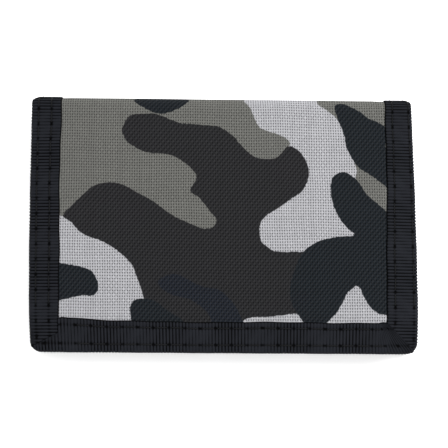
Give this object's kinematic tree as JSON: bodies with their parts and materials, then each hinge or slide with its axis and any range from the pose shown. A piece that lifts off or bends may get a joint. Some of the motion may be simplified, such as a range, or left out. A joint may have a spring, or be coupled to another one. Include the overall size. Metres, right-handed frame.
{
  "type": "trifold wallet",
  "caption": "Cloth trifold wallet, closed: camouflage front flap bound in black ribbed tape, with card pockets, a clear window and a zipped coin pocket inside.",
  "frame": {"origin": "under the middle of the closed wallet, on the surface that it lies on", "axes": "+X along the folds, towards the banknote mouth; +Y towards the front flap's fold; +Z out of the camouflage front"},
  "size_m": [0.125, 0.085, 0.015],
  "materials": {
    "camo_cloth": "coarse plain-weave polyester, printed grey camouflage, slight sheen",
    "lining_cloth": "thin black woven nylon",
    "pocket_cloth": "black woven polyester",
    "binding_tape": "black ribbed grosgrain tape, matte",
    "clear_vinyl": "clear soft vinyl sheet",
    "hook_tape": "black hook tape",
    "loop_tape": "black brushed loop tape",
    "zipper_tape": "black woven zipper tape",
    "zipper_coil": "black nylon coil",
    "zipper_metal": "black enamelled zinc"
  },
  "bodies": {
    "back_panel": {"back_shell": "camo_cloth", "back_lining": "lining_cloth", "back_card_pocket": "pocket_cloth", "id_window": "clear_vinyl", "id_window_frame": "binding_tape", "back_binding_left": "binding_tape", "back_binding_right": "binding_tape", "back_lining_binding_right": "binding_tape", "lower_fold_shell": "camo_cloth", "lower_fold_lining": "lining_cloth", "lower_fold_binding": "binding_tape", "inner_fold_shell": "camo_cloth", "inner_fold_lining": "lining_cloth", "inner_fold_binding": "binding_tape"},
    "front_spine": {"front_spine_shell": "camo_cloth", "front_spine_lining": "lining_cloth", "front_spine_binding_left": "binding_tape", "front_spine_binding_right": "binding_tape", "front_spine_lining_binding_right": "binding_tape", "upper_fold_shell": "camo_cloth", "upper_fold_lining": "lining_cloth", "upper_fold_binding": "binding_tape"},
    "front_flap": {"front_flap_shell": "camo_cloth", "front_flap_lining": "lining_cloth", "coin_pocket_panel": "pocket_cloth", "hook_patch": "hook_tape", "front_flap_binding_left": "binding_tape", "front_flap_binding_bottom": "binding_tape", "front_flap_binding_right": "binding_tape", "front_flap_lining_binding_right": "binding_tape", "zipper_tape_upper": "zipper_tape", "zipper_tape_lower": "zipper_tape", "zipper_coil_upper": "zipper_coil", "zipper_coil_lower": "zipper_coil", "zipper_stops": "zipper_coil"},
    "inner_flap": {"inner_flap_shell": "camo_cloth", "inner_flap_lining": "lining_cloth", "card_pocket_back": "pocket_cloth", "card_pocket_middle": "pocket_cloth", "card_pocket_front": "pocket_cloth", "loop_patch": "loop_tape", "inner_flap_binding_left": "binding_tape", "inner_flap_binding_edge": "binding_tape", "inner_flap_binding_right": "binding_tape", "inner_flap_lining_binding_right": "binding_tape"},
    "zip_slider": {"zip_slider": "zipper_metal"},
    "zip_pull": {"zip_pull": "zipper_metal"}
  },
  "joints": [
    {"name": "front_spine_fold", "type": "hinge", "parent": "back_panel", "child": "front_spine", "pos_m": [0, 0.04096, 0.00154], "axis": [-1, 0, 0], "range_deg": [0, 90], "deforming": ["lower_fold_shell", "lower_fold_lining", "lower_fold_binding"]},
    {"name": "front_flap_fold", "type": "hinge", "parent": "front_spine", "child": "front_flap", "pos_m": [0, 0.04096, 0.01346], "axis": [-1, 0, 0], "range_deg": [0, 90], "deforming": ["upper_fold_shell", "upper_fold_lining", "upper_fold_binding"]},
    {"name": "inner_flap_fold", "type": "hinge", "parent": "back_panel", "child": "inner_flap", "pos_m": [0, -0.04251, 0.00425], "axis": [1, 0, 0], "range_deg": [0, 45], "deforming": ["inner_fold_shell", "inner_fold_lining", "inner_fold_binding"]},
    {"name": "zip_slide", "type": "slide", "parent": "front_flap", "child": "zip_slider", "axis": [1, 0, 0], "range_m": [0, 0.086]},
    {"name": "zip_pull_swing", "type": "hinge", "parent": "zip_slider", "child": "zip_pull", "pos_m": [-0.04215, 0.0335, 0.00825], "axis": [0, 1, 0], "range_deg": [0, 18]}
  ],
  "couplings": [
    {"joint": "front_flap_fold", "follows": "front_spine_fold", "ratio": 1},
    {"joint": "inner_flap_fold", "follows": "front_spine_fold", "ratio": 0.5}
  ]
}
